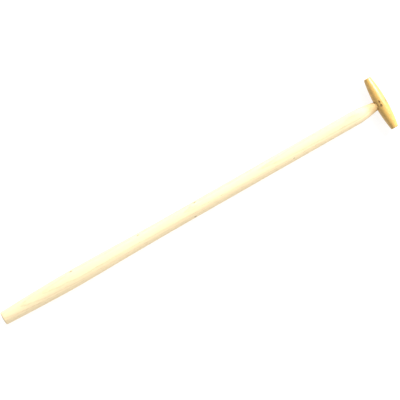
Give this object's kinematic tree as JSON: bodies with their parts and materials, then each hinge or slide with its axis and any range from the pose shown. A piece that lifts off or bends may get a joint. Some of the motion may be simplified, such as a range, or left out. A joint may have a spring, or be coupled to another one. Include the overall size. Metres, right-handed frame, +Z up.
{
  "type": "t-grip tool handle",
  "caption": "Straight turned wooden tool handle with a spindle-shaped crossbar grip on a wedged tenon and a tapered socket end.",
  "frame": {"origin": "centre of the socket end's flat face, on the shaft's axis", "axes": "+X along the shaft from the socket end to the crossbar grip, +Y along the grip, +Z up when the handle and the grip both lie level"},
  "size_m": [0.92, 0.118, 0.038],
  "materials": {
    "shaft_ash": "pale ash, sanded and unvarnished, grain along the shaft",
    "grip_beech": "beech, sanded smooth, grain along the grip",
    "wedge_hardwood": "darker hardwood, end grain sanded flush with the grip",
    "nail_steel": "old wire nail, its head dulled and rusted brown"
  },
  "bodies": {
    "root": {"shaft": "shaft_ash", "grip": "grip_beech", "tenon_wedge": "wedge_hardwood", "lock_nail_1": "nail_steel", "lock_nail_2": "nail_steel"}
  },
  "joints": []
}
